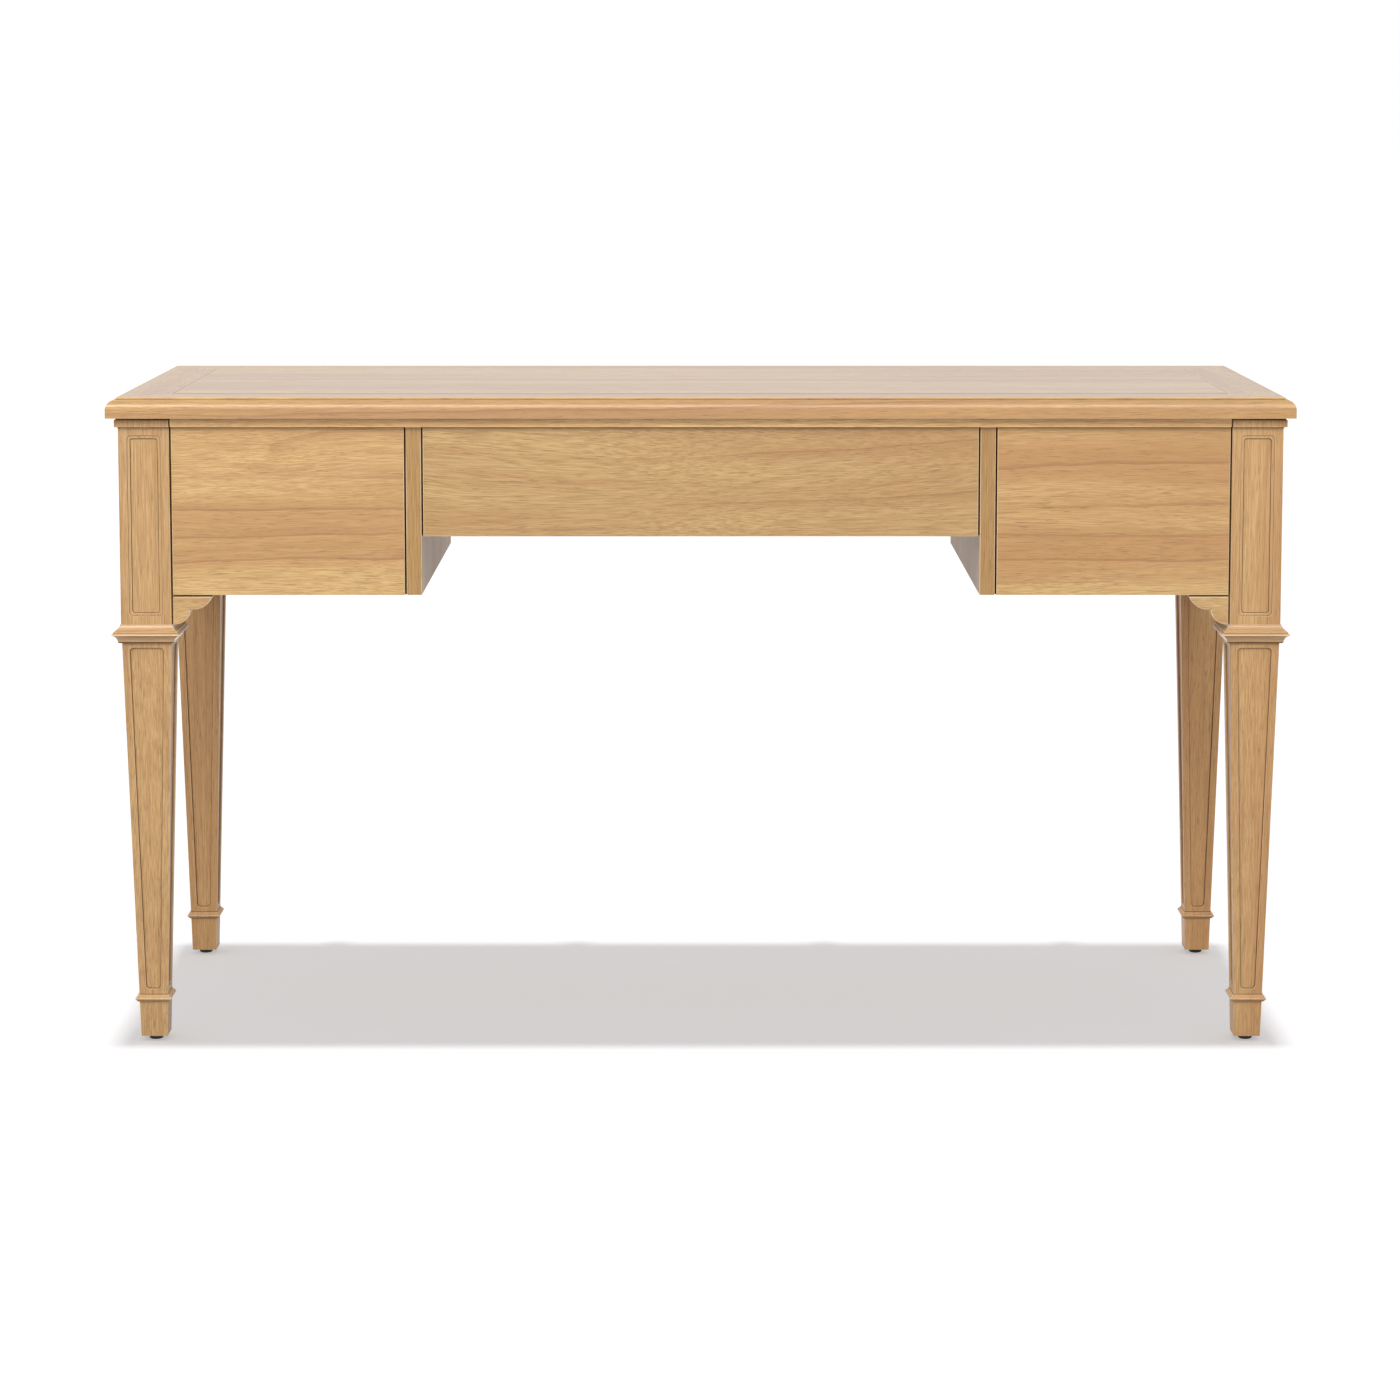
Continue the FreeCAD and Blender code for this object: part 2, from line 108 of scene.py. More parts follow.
def stretch(tree, value, low, high, outLow=0.0, outHigh=1.0):
    # maps low..high to outLow..outHigh and clamps, with a smooth step
    node = addNode(tree, "ShaderNodeMapRange", interpolation_type="SMOOTHSTEP")
    feed(tree, node.inputs["Value"], value)
    node.inputs["From Min"].default_value = low
    node.inputs["From Max"].default_value = high
    node.inputs["To Min"].default_value = outLow
    node.inputs["To Max"].default_value = outHigh
    return node.outputs["Result"]


def blendColour(tree, factor, first, second):
    node = addNode(tree, "ShaderNodeMix", data_type="RGBA")
    feed(tree, node.inputs["Factor"], factor)
    feed(tree, node.inputs[6], first)
    feed(tree, node.inputs[7], second)
    return node.outputs[2]


def blendValue(tree, factor, first, second):
    node = addNode(tree, "ShaderNodeMix", data_type="FLOAT")
    feed(tree, node.inputs["Factor"], factor)
    feed(tree, node.inputs[2], first)
    feed(tree, node.inputs[3], second)
    return node.outputs[0]


def newGroup(name, inputs, outputs):
    group = bpy.data.node_groups.new(name, "ShaderNodeTree")
    for label, kind, default in inputs:
        socket = group.interface.new_socket(label, in_out="INPUT", socket_type=kind)
        if default is not None:
            socket.default_value = default
    for label, kind in outputs:
        group.interface.new_socket(label, in_out="OUTPUT", socket_type=kind)
    entry = addNode(group, "NodeGroupInput")
    leave = addNode(group, "NodeGroupOutput")
    return group, entry.outputs, leave.inputs


# ---- node groups that several materials share

grainValues = {
    "slowStretch": (1.1, 6.0, 6.0),       # wandering of the growth rings, per metre
    "fibreStretch": (22.0, 980.0, 980.0),
    "poreStretch": (45.0, 1100.0, 1100.0),
    "bandStretch": (0.9, 17.0, 17.0),
    "streakStretch": (2.4, 150.0, 150.0),
    "ringDistortion": 0.55, "ringDetailScale": 1.2,
    "ringFade": (0.3, 1.0),               # slow darkening across a ring
    "ringEdge": (0.88, 0.99),             # and the sharp dark line at its end
    "edgeShare": 0.75,
    "ringBands": (0.35, 0.62),            # rings show only in some bands
    "fibreRange": (0.32, 0.68), "poreRange": (0.60, 0.70), "bandRange": (0.35, 0.65),
    "streakRange": (0.52, 0.72),
}


def makeGrainGroup():
    group, entry, leave = newGroup(
        "woodGrain",
        [
            ("Vector", "NodeSocketVector", None),
            ("Ring Scale", "NodeSocketFloat", 22.0),
            ("Wander", "NodeSocketFloat", 0.03),
        ],
        [(name, "NodeSocketFloat") for name in ("Rings", "Fibres", "Pores", "Bands", "Streaks")],
    )
    g = grainValues
    slow = noise(group, scaledVector(group, entry["Vector"], g["slowStretch"]), 2.0, 0.5, "Color")
    centred = addNode(group, "ShaderNodeVectorMath", operation="SUBTRACT")
    feed(group, centred.inputs[0], slow)
    centred.inputs[1].default_value = (0.5, 0.5, 0.5)
    push = addNode(group, "ShaderNodeVectorMath", operation="SCALE")
    feed(group, push.inputs[0], centred.outputs[0])
    feed(group, push.inputs["Scale"], entry["Wander"])
    bent = addNode(group, "ShaderNodeVectorMath", operation="ADD")
    feed(group, bent.inputs[0], entry["Vector"])
    feed(group, bent.inputs[1], push.outputs[0])
    warped = bent.outputs[0]
    wave = addNode(
        group, "ShaderNodeTexWave", wave_type="RINGS", rings_direction="X", wave_profile="SAW"
    )
    feed(group, wave.inputs["Vector"], warped)
    feed(group, wave.inputs["Scale"], entry["Ring Scale"])
    wave.inputs["Distortion"].default_value = g["ringDistortion"]
    wave.inputs["Detail"].default_value = 2.0
    wave.inputs["Detail Scale"].default_value = g["ringDetailScale"]
    fade = stretch(group, wave.outputs["Fac"], *g["ringFade"])
    sharp = stretch(group, wave.outputs["Fac"], *g["ringEdge"])
    late = mathNode(
        group, "ADD", mathNode(group, "MULTIPLY", fade, 1.0 - g["edgeShare"]),
        mathNode(group, "MULTIPLY", sharp, g["edgeShare"]),
    )
    fibres = noise(group, scaledVector(group, warped, g["fibreStretch"]), 4.0, 0.62)
    poreNoise = noise(group, scaledVector(group, warped, g["poreStretch"]), 1.0, 0.5)
    bands = noise(group, scaledVector(group, warped, g["bandStretch"]), 2.0, 0.5)
    streaks = noise(group, scaledVector(group, warped, g["streakStretch"]), 3.0, 0.55)
    feed(group, leave["Rings"], mathNode(
        group, "MULTIPLY", late, stretch(group, bands, *g["ringBands"])))
    feed(group, leave["Fibres"], stretch(group, fibres, *g["fibreRange"]))
    feed(group, leave["Pores"], stretch(group, poreNoise, *g["poreRange"]))
    feed(group, leave["Bands"], stretch(group, bands, *g["bandRange"]))
    feed(group, leave["Streaks"], stretch(group, streaks, *g["streakRange"]))
    return group


edgeMarkValues = {
    "patchStretch": (9.0, 9.0, 9.0), "patchRange": (0.30, 0.54), "shadeRange": (0.2, 0.6),
    "shadeLeast": 0.75, "smudgeStretch": (4.5, 4.5, 4.5), "smudgeRange": (0.38, 0.66),
}


def makeEdgeMarkGroup():
    # the rim attribute marks rounded edges, lightened as wear and as a painted highlight; the
    # other attribute marks the corners, cuts and gaps that get painted shade
    w = edgeMarkValues
    group, entry, leave = newGroup(
        "edgeWearHighlightAndShade",
        [("Vector", "NodeSocketVector", None), ("Amount", "NodeSocketFloat", 0.5)],
        [(name, "NodeSocketFloat") for name in ("Wear", "Smudge", "Glaze")],
    )
    rim = addNode(group, "ShaderNodeAttribute", attribute_name="rim")
    patches = noise(group, scaledVector(group, entry["Vector"], w["patchStretch"]), 4.0, 0.6)
    broken = stretch(group, patches, *w["patchRange"])
    worn = mathNode(group, "MULTIPLY", rim.outputs["Fac"], broken)
    feed(group, leave["Wear"], mathNode(group, "MULTIPLY", worn, entry["Amount"], clamp=True))
    hollow = addNode(group, "ShaderNodeAttribute", attribute_name="hollow")
    feed(group, leave["Glaze"], mathNode(
        group, "MULTIPLY", hollow.outputs["Fac"],
        stretch(group, patches, *w["shadeRange"], w["shadeLeast"], 1.0)))
    smudge = noise(group, scaledVector(group, entry["Vector"], w["smudgeStretch"]), 5.0, 0.6)
    feed(group, leave["Smudge"], stretch(group, smudge, *w["smudgeRange"]))
    return group


grainGroup = makeGrainGroup()
edgeMarkGroup = makeEdgeMarkGroup()


def placeGroup(tree, group, vector, **values):
    node = addNode(tree, "ShaderNodeGroup", node_tree=group)
    feed(tree, node.inputs["Vector"], vector)
    for label, value in values.items():
        node.inputs[label.replace("_", " ")].default_value = value
    return node.outputs


def newMaterial(name):
    material = bpy.data.materials.new(name)
    material.use_nodes = True
    return material, material.node_tree, material.node_tree.nodes["Principled BSDF"]


def feedBump(tree, shader, height, strength, distance):
    bump = addNode(tree, "ShaderNodeBump")
    bump.inputs["Strength"].default_value = strength
    bump.inputs["Distance"].default_value = distance
    feed(tree, bump.inputs["Height"], height)
    feed(tree, shader.inputs["Normal"], bump.outputs["Normal"])


# ---- materials

# the pale edge colour is wear and painted highlight; the near-black colour is painted shade for
# corners, cuts and gaps
caseWood = {
    "light": (0.560, 0.368, 0.160), "mid": (0.370, 0.222, 0.083), "red": (0.330, 0.165, 0.062),
    "line": (0.225, 0.102, 0.034), "pore": (0.150, 0.072, 0.026), "worn": (0.72, 0.53, 0.32),
    "stain": (0.070, 0.030, 0.009),
    "redness": 0.62, "lines": 0.52, "streaks": 0.38, "pores": 0.42, "wear": 0.90, "glaze": 0.88,
    "ringScale": 12.0, "wander": 0.075, "rough": (0.40, 0.54), "coat": 0.18, "coatRough": 0.20,
    "bump": 0.16, "specular": 0.5,
}
legWood = dict(
    caseWood, light=(0.545, 0.338, 0.148), mid=(0.375, 0.210, 0.082), lines=0.42, streaks=0.48,
    redness=0.66, ringScale=26.0, wander=0.02,
)
topWood = dict(
    caseWood, lines=0.46, rough=(0.34, 0.44), coat=1.0, coatRough=0.26, wander=0.05, specular=0.45
)
innerWood = dict(caseWood, coat=0.0, rough=(0.55, 0.70), wear=0.2, lines=0.35)
drawerWood = dict(
    innerWood, light=(0.62, 0.45, 0.25), mid=(0.54, 0.37, 0.19), red=(0.48, 0.30, 0.14), lines=0.25
)
borderWood = dict(
    topWood, light=(0.550, 0.326, 0.102), mid=(0.360, 0.190, 0.055), lines=0.60, streaks=0.50,
    redness=0.85,
)
dividerWood = dict(
    legWood, light=(0.545, 0.330, 0.118), mid=(0.375, 0.205, 0.065), coat=0.12, rough=(0.44, 0.57)
)
# the collars' lighter colours are painted highlight
collarWood = dict(
    legWood, light=(0.630, 0.398, 0.172), mid=(0.440, 0.252, 0.098), coat=0.9, coatRough=0.20,
    rough=(0.34, 0.46),
)
woodFor = {
    "top_wood": topWood, "case_wood": caseWood, "leg_wood": legWood, "inner_wood": innerWood,
    "drawer_wood": drawerWood,
}
# painted light and shade: each listed board is made lighter or darker for how the light falls on
# it
paintedLightOf = {  # boards that are lighter or darker than the rest
    "back_panel_left": 1.06, "back_panel_centre": 0.92, "back_panel_right": 1.06,
    "divider_left": 0.75, "divider_right": 0.78, "strip_back": 1.35, "leg_back_right": 0.93,
    "leg_front_right": 1.09, "leg_front_left": 1.2,
}
turnFor = {  # each grain direction is turned to lie along the pattern's X
    "X": (0.0, 0.0, 0.0), "Y": (0.0, 0.0, -math.pi / 2), "Z": (0.0, math.pi / 2, 0.0),
}
cutValues = {
    "tiltY": 0.012, "tiltZ": 0.02, "along": (2, 30),  # where in the log the board is cut
    "beside": (0.02, 0.07), "above": (0.07, 0.13), "ringSpread": (0.85, 1.2),
    "toneSpread": (0.975, 1.025), "rednessSpread": (0.7, 1.15), "redLift": 1.12,
    "smudgeRough": 0.06, "wearPolish": 0.08, "shadeRough": 0.85, "fibreHeight": 0.35,
    "bumpDistance": 0.0003, "ior": 1.48,
}


def tinted(colour, toneAndLight):
    return (colour[0] * toneAndLight, colour[1] * toneAndLight, colour[2] * toneAndLight, 1.0)


def woodMaterial(name, wood, grain, centre, toneAndLight):
    material, tree, shader = newMaterial(name)
    c = cutValues
    place = addNode(tree, "ShaderNodeTexCoord").outputs["Object"]
    tilt = Vector((
        0.0, dice.uniform(-c["tiltY"], c["tiltY"]), dice.uniform(-c["tiltZ"], c["tiltZ"])))
    turn = Vector(turnFor[grain]) + tilt
    mapping = addNode(tree, "ShaderNodeMapping", vector_type="POINT")
    mapping.inputs["Rotation"].default_value = turn
    # the board is cut at a random place along a log, beside its pith
    wanted = Vector((
        dice.uniform(*c["along"]), dice.choice((-1, 1)) * dice.uniform(*c["beside"]),
        dice.choice((-1, 1)) * dice.uniform(*c["above"])))
    turned = Matrix.Rotation(turn.z, 3, "Z") @ (Matrix.Rotation(turn.y, 3, "Y") @ centre)
    mapping.inputs["Location"].default_value = wanted - turned
    feed(tree, mapping.inputs["Vector"], place)
    grainOut = placeGroup(
        tree, grainGroup, mapping.outputs["Vector"],
        Ring_Scale=wood["ringScale"] * dice.uniform(*c["ringSpread"]), Wander=wood["wander"])
    edgeMarks = placeGroup(tree, edgeMarkGroup, place, Amount=wood["wear"])
    # this tone is the painted light and shade from the per-board table, times a random spread
    toneAndLight *= dice.uniform(*c["toneSpread"])
    redness = wood["redness"] * dice.uniform(*c["rednessSpread"])
    colour = blendColour(
        tree, grainOut["Fibres"], tinted(wood["light"], toneAndLight), tinted(wood["mid"], toneAndLight))
    # the last two blends paint a highlight, with wear, on rounded edges and painted shade in
    # corners, cuts and gaps
    for mask, amount, over in (
        (grainOut["Bands"], redness, tinted(wood["red"], toneAndLight * c["redLift"])),
        (grainOut["Rings"], wood["lines"], tinted(wood["line"], 1.0)),
        (grainOut["Streaks"], wood["streaks"], tinted(wood["red"], 1.0)),
        (grainOut["Pores"], wood["pores"], tinted(wood["pore"], 1.0)),
        (edgeMarks["Wear"], 1.0, tinted(wood["worn"], 1.0)),
        (edgeMarks["Glaze"], wood["glaze"], tinted(wood["stain"], 1.0)),
    ):
        colour = blendColour(tree, mathNode(tree, "MULTIPLY", mask, amount), colour, over)
    feed(tree, shader.inputs["Base Color"], colour)
    smudged = mathNode(
        tree, "ADD", stretch(tree, grainOut["Fibres"], 0.0, 1.0, *wood["rough"]),
        mathNode(tree, "MULTIPLY", edgeMarks["Smudge"], c["smudgeRough"]))
    rough = mathNode(
        tree, "SUBTRACT", smudged, mathNode(tree, "MULTIPLY", edgeMarks["Wear"], c["wearPolish"]))
    # where the painted shade lies, the coat is taken off and roughness raised, so no reflection
    # lightens it
    feed(tree, shader.inputs["Roughness"], blendValue(
        tree, edgeMarks["Glaze"], rough, c["shadeRough"]))
    feed(tree, shader.inputs["Coat Weight"], blendValue(tree, edgeMarks["Glaze"], wood["coat"], 0.0))
    height = mathNode(
        tree, "SUBTRACT", mathNode(tree, "MULTIPLY", grainOut["Fibres"], c["fibreHeight"]),
        grainOut["Pores"])
    feedBump(tree, shader, height, wood["bump"], c["bumpDistance"])
    shader.inputs["Coat Roughness"].default_value = wood["coatRough"]
    shader.inputs["IOR"].default_value = c["ior"]
    shader.inputs["Specular IOR Level"].default_value = wood["specular"]
    return material


brassValues = {
    "bright": (0.62, 0.44, 0.20), "dark": (0.20, 0.125, 0.05), "rough": (0.24, 0.48),
    "wear": 0.8, "wearHighlightLift": 1.25, "patinaStretch": (160.0, 160.0, 160.0),
    "patinaRange": (0.40, 0.68), "roughRange": (0.3, 0.7), "scratchStretch": (900.0, 60.0, 900.0),
    "bump": 0.08, "bumpDistance": 0.0002,
}


def brassMaterial():
    material, tree, shader = newMaterial("agedBrass")
    v = brassValues
    place = addNode(tree, "ShaderNodeTexCoord").outputs["Object"]
    edgeMarks = placeGroup(tree, edgeMarkGroup, place, Amount=v["wear"])
    patina = noise(tree, scaledVector(tree, place, v["patinaStretch"]), 5.0, 0.6)
    colour = blendColour(
        tree, stretch(tree, patina, *v["patinaRange"]), tinted(v["bright"], 1.0),
        tinted(v["dark"], 1.0))
    # the rim mask lightens rounded edges for wear and a painted highlight
    feed(tree, shader.inputs["Base Color"], blendColour(
        tree, edgeMarks["Wear"], colour, tinted(v["bright"], v["wearHighlightLift"])))
    feed(tree, shader.inputs["Roughness"], stretch(tree, patina, *v["roughRange"], *v["rough"]))
    scratches = noise(tree, scaledVector(tree, place, v["scratchStretch"]), 2.0)
    feedBump(tree, shader, scratches, v["bump"], v["bumpDistance"])
    shader.inputs["Metallic"].default_value = 1.0
    return material


glideValues = {
    "base": (0.012, 0.012, 0.013), "dust": (0.075, 0.070, 0.065), "rough": (0.45, 0.65),
    "gritStretch": (700.0, 700.0, 700.0), "dustRange": (0.45, 0.7), "roughRange": (0.3, 0.7),
    "bump": 0.15, "bumpDistance": 0.0002,
}


def glideMaterial():
    material, tree, shader = newMaterial("blackPlastic")
    v = glideValues
    place = addNode(tree, "ShaderNodeTexCoord").outputs["Object"]
    grit = noise(tree, scaledVector(tree, place, v["gritStretch"]), 3.0, 0.6)
    edgeMarks = placeGroup(tree, edgeMarkGroup, place)
    dusty = mathNode(tree, "MULTIPLY", stretch(tree, grit, *v["dustRange"]), edgeMarks["Smudge"])
    feed(tree, shader.inputs["Base Color"], blendColour(
        tree, dusty, tinted(v["base"], 1.0), tinted(v["dust"], 1.0)))
    feed(tree, shader.inputs["Roughness"], stretch(tree, grit, *v["roughRange"], *v["rough"]))
    feedBump(tree, shader, grit, v["bump"], v["bumpDistance"])
    return material


# ---- making pieces

pieceValues = {
    "merge": 0.000005, "flatDegrees": 0.5, "sharpDegrees": 28.0, "bluntAngle": 1.1,
    "level": 0.00001, "facing": 0.9, "upright": 0.1, "easeSegments": 2, "normalWeight": 80,
}


def camelName(node):
    first, *rest = node.split("_")
    return first + "".join(word.capitalize() for word in rest)


def centreOf(node):
    low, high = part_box(node)
    return (low + high) / 2


def markFaces(bm, layerName, faces, amount=1.0):
    layer = bm.loops.layers.float.get(layerName) or bm.loops.layers.float.new(layerName)
    for face in faces:
        for loop in face.loops:
            loop[layer] = amount


def roundEdges(bm, edges, width, segments, layerName, clamp=True):
    made = bmesh.ops.bevel(
        bm, geom=edges, offset=width, offset_type="OFFSET", segments=segments, profile=0.5,
        affect="EDGES", clamp_overlap=clamp, material=-1,
    )
    markFaces(bm, layerName, made["faces"])
    return made["faces"]


def sharpEdges(bm, outward):
    found = []
    for edge in bm.edges:
        if len(edge.link_faces) == 2:
            angle = math.degrees(edge.calc_face_angle_signed())
            if (angle if outward else -angle) > pieceValues["sharpDegrees"]:
                found.append(edge)
    return found


def mergeCorners(bm):
    bmesh.ops.remove_doubles(bm, verts=bm.verts, dist=pieceValues["merge"])


def besideShade(bm, edge):
    # a blunt edge of a face that is already cut back and marked with painted shade
    layer = bm.loops.layers.float.get("hollow")
    blunt = abs(edge.calc_face_angle_signed()) < pieceValues["bluntAngle"]
    return layer is not None and blunt and any(
        face.loops[0][layer] > 0 for face in edge.link_faces)


def softenEdges(bm, width, hollowWidth, clamp=True):
    # outer edges are rounded and marked for wear and a painted highlight; inner corners are filled
    # and marked for painted shade
    for outward, size, steps, mark in (
        (True, width, pieceValues["easeSegments"], "rim"), (False, hollowWidth, 1, "hollow"),
    ):
        bm.normal_update()
        edges = [edge for edge in sharpEdges(bm, outward) if not besideShade(bm, edge)]
        roundEdges(bm, edges, size, steps, mark, clamp)


def darkenEdge(bm, height, width, outward=True, amount=1.0):
    # the edge at this height is planed or filled and marked with painted shadow, which leaves a
    # dark line beside the next board
    bm.normal_update()
    level = [
        edge for edge in sharpEdges(bm, outward)
        if all(abs(vert.co.z - height) < pieceValues["level"] for vert in edge.verts)
    ]
    markFaces(bm, "hollow", roundEdges(bm, level, width, 1, "hollow"), amount)


def darkenGap(bm, along):
    # painted shade on the rebated edges of a panel, which stand in the shadow gap
    bm.normal_update()
    narrow, p = boardValues["gapArea"], pieceValues
    markFaces(bm, "hollow", [
        face for face in bm.faces
        if abs(face.normal[along]) > p["facing"]
        or (abs(face.normal.z) < p["upright"] and face.calc_area() < narrow)
    ])


def finishPiece(bm, nodes, materials):
    bm.normal_update()
    mesh = bpy.data.meshes.new(camelName(nodes[0]))
    bm.to_mesh(mesh)
    bm.free()
    for material in materials:
        mesh.materials.append(material)
    mesh.shade_smooth()
    piece = bpy.data.objects.new(mesh.name, mesh)
    bpy.context.collection.objects.link(piece)
    even = piece.modifiers.new("evenShading", "WEIGHTED_NORMAL")
    even.mode = "FACE_AREA"
    even.weight = pieceValues["normalWeight"]
    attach(piece, frame["nodes"][nodes[0]]["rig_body"])
    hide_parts(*nodes)


def woodOf(node, grain, wood=None):
    return woodMaterial(
        camelName(node) + "Wood" + grain, wood or woodFor[slotOf[node]], grain, centreOf(node),
        paintedLightOf.get(node, 1.0))


# ---- boards: copies of the plain CAD boards, merged and with eased edges

boardValues = {
    "ease": 0.0007, "shadeBevel": 0.0009, "shadowLine": 0.0030, "shadow": 0.62,
    "panelLine": 0.0010, "gapArea": 0.0005, "legCorner": 0.0009, "legBandLine": 0.0012,
    "legEase": 0.00025, "legGlazeLine": 0.00045, "cornerSegments": 4, "onCorner": 0.00002,
    "recessRing": 0.0010, "ringShade": 0.75, "recessArea": 0.0005, "recessAngle": -0.5,
    "litSlope": 0.4, "grooveSlope": (0.2, 0.95),
}
grainOf = {
    "top_panel": "X", "strip_back": "X", "strip_front": "X", "strip_left": "Y", "strip_right": "Y",
    "top_rail_back": "X", "top_rail_front": "X", "back_panel_left": "X", "back_panel_right": "X",
    "back_panel_centre": "X", "end_panel_left": "Y", "end_panel_right": "Y", "divider_left": "Z",
    "divider_right": "Z", "pedestal_bottom_left": "Y", "pedestal_bottom_right": "Y",
}
for side in ("left", "right"):
    for end in ("front", "back"):
        grainOf["bracket_" + end + "_" + side] = "X"
        grainOf["bracket_end_" + end + "_" + side] = "Y"
        grainOf["leg_" + end + "_" + side] = "Z"
for name in ("centre", "left", "right"):
    grainOf.update({
        name + "_drawer_front": "X", name + "_drawer_side_left": "Y",
        name + "_drawer_side_right": "Y", name + "_drawer_back": "X",
        name + "_drawer_bottom": "X", name + "_drawer_runners": "Y",
    })


def mergedCopy(node):
    bm = bmesh.new()
    bm.from_mesh(frame["nodes"][node].data)
    mergeCorners(bm)
    flat = math.radians(pieceValues["flatDegrees"])
    bmesh.ops.dissolve_limit(bm, angle_limit=flat, verts=bm.verts, edges=bm.edges)
    return bm


def ringRecesses(bm):
    # the floor of every recess gets a ring of painted shade against its wall
    bm.normal_update()
    b = boardValues
    floors = [
        face for face in bm.faces
        if face.calc_area() > b["recessArea"] and all(
            edge.calc_face_angle_signed(0.0) < b["recessAngle"] for edge in face.edges)
    ]
    made = bmesh.ops.inset_individual(
        bm, faces=floors, thickness=b["recessRing"], use_even_offset=True)
    markFaces(bm, "hollow", made["faces"], b["ringShade"])


def roundLegCorners(bm, axis):
    # the four corners are eased, and the outline of each recess is cut as a line of painted shade,
    # turned to a painted highlight where it faces up to the light
    bm.normal_update()
    b = boardValues

    def onCorner(vert):
        return abs(abs(vert.co.x - axis[0]) - abs(vert.co.y - axis[1])) < b["onCorner"]

    convex = sharpEdges(bm, True)
    outline = [
        edge for edge in convex
        if not all(onCorner(vert) for vert in edge.verts)
        and any(onCorner(vert) for face in edge.link_faces for vert in face.verts)
    ]
    corners = [
        edge for edge in convex
        if all(onCorner(vert) for vert in edge.verts)
        and abs(edge.verts[0].co.z - edge.verts[1].co.z) > 0.5 * edge.calc_length()
    ]
    cut = roundEdges(bm, outline, b["legGlazeLine"], 1, "hollow", clamp=False)
    bm.normal_update()
    lit = [face for face in cut if face.is_valid and face.normal.z > b["litSlope"]]
    markFaces(bm, "hollow", lit, 0.0)
    markFaces(bm, "rim", lit)
    corners = [edge for edge in corners if edge.is_valid]
    roundEdges(bm, corners, b["legCorner"], b["cornerSegments"], "rim")


def slopingFaces(bm):
    # the sides of the V groove
    low, high = boardValues["grooveSlope"]
    return [face for face in bm.faces if low < face.normal.z < high]


def shapeLeg(bm, node):
    b = boardValues
    # painted shadow along the leg's top edge under the top, and along the band's lower edge under
    # the strip
    darkenEdge(bm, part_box(node)[1].z, b["shadowLine"], amount=b["shadow"])
    darkenEdge(bm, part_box("strip_back")[0].z, b["legBandLine"], outward=False)
    ringRecesses(bm)
    roundLegCorners(bm, legAxes()[node.removeprefix("leg_")])
    softenEdges(bm, b["legEase"], b["legGlazeLine"], clamp=False)


def shapeBoard(bm, node):
    b = boardValues
    # painted shadow under the top on the strips; on panels, painted shade in the gaps and a
    # painted shadow under the strip
    if node.startswith("strip"):
        darkenEdge(bm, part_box(node)[1].z, b["shadowLine"], amount=b["shadow"])
    if "_panel_" in node:
        darkenGap(bm, 0 if node.startswith("back") else 1)
        darkenEdge(bm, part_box(node)[1].z, b["panelLine"])
    # painted shade on the sides of the V groove
    if node == "top_panel":
        markFaces(bm, "hollow", slopingFaces(bm))
    softenEdges(bm, b["ease"], b["shadeBevel"])


def makeBoards():
    for node, grain in grainOf.items():
        bm = mergedCopy(node)
        if node.startswith("leg_"):
            shapeLeg(bm, node)
        else:
            shapeBoard(bm, node)
        wood = dividerWood if node.startswith("divider") else None
        finishPiece(bm, [node], [woodOf(node, grain, wood)])
    print("boards, legs and drawer boxes:", len(grainOf))


# ---- the top's moulded border boards

borderValues = {
    "step": 0.0025, "shelf": 0.0005, "round": 0.011, "roundSegments": 10,
    "grooveHalf": 0.0012, "grooveDepth": 0.0016, "ease": 0.00025, "shadeBevel": 0.0004,
    "exact": 0.000001, "stepNear": 0.0002, "grooveNear": 0.0003,
}


def makeBorderBoard(node, turn, grain):
    b = borderValues
    low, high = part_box(node)
    size = high - low
    length, width = max(size.x, size.y), min(size.x, size.y)
    under, top = low.z, high.z
    shoulder = top - b["step"]
    inset = b["round"] + b["shelf"]
    profile = [  # depth from the outer face, height
        (width, under), (width, top - b["grooveDepth"]), (width - b["grooveHalf"], top),
        (inset, top), (inset, shoulder), (0.0, shoulder), (0.0, under),
    ]
    bm = bmesh.new()
    end = [bm.verts.new((depth - length / 2, -depth, height)) for depth, height in profile]
    face = bm.faces.new(end)
    made = bmesh.ops.extrude_face_region(bm, geom=[face])
    for vert in made["geom"]:
        if isinstance(vert, bmesh.types.BMVert):
            vert.co.x = -vert.co.x
    bmesh.ops.recalc_face_normals(bm, faces=bm.faces)
    exact = b["exact"]
    corner = [
        edge for edge in bm.edges
        if all(abs(v.co.z - shoulder) < exact and abs(v.co.y) < exact for v in edge.verts)
    ]
    bmesh.ops.bevel(
        bm, geom=corner, offset=b["round"], offset_type="OFFSET", segments=b["roundSegments"],
        profile=0.5, affect="EDGES", clamp_overlap=False, material=-1,
    )
    # painted shade on the small upright step and on this board's side of the groove
    shadeFaces = [  # the small upright step, and this board's side of the groove
        face for face in bm.faces
        if abs(face.normal.z) < pieceValues["upright"]
        and shoulder < face.calc_center_median().z < top
        and abs(face.calc_center_median().y + inset) < b["stepNear"]
    ]
    grooveEnd = b["grooveNear"] - width + b["grooveHalf"]
    shadeFaces += [
        face for face in slopingFaces(bm) if face.calc_center_median().y < grooveEnd
    ]
    softenEdges(bm, b["ease"], b["shadeBevel"])
    markFaces(bm, "hollow", [face for face in shadeFaces if face.is_valid])
    outer = {"Y+": high.y, "Y-": -low.y, "X+": high.x, "X-": -low.x}[turn]
    bmesh.ops.translate(bm, vec=(0, outer, 0), verts=bm.verts)
    angle = {"Y+": 0.0, "Y-": math.pi, "X+": -math.pi / 2, "X-": math.pi / 2}[turn]
    bmesh.ops.rotate(bm, cent=(0, 0, 0), matrix=Matrix.Rotation(angle, 3, "Z"), verts=bm.verts)
    finishPiece(bm, [node], [woodOf(node, grain, borderWood)])


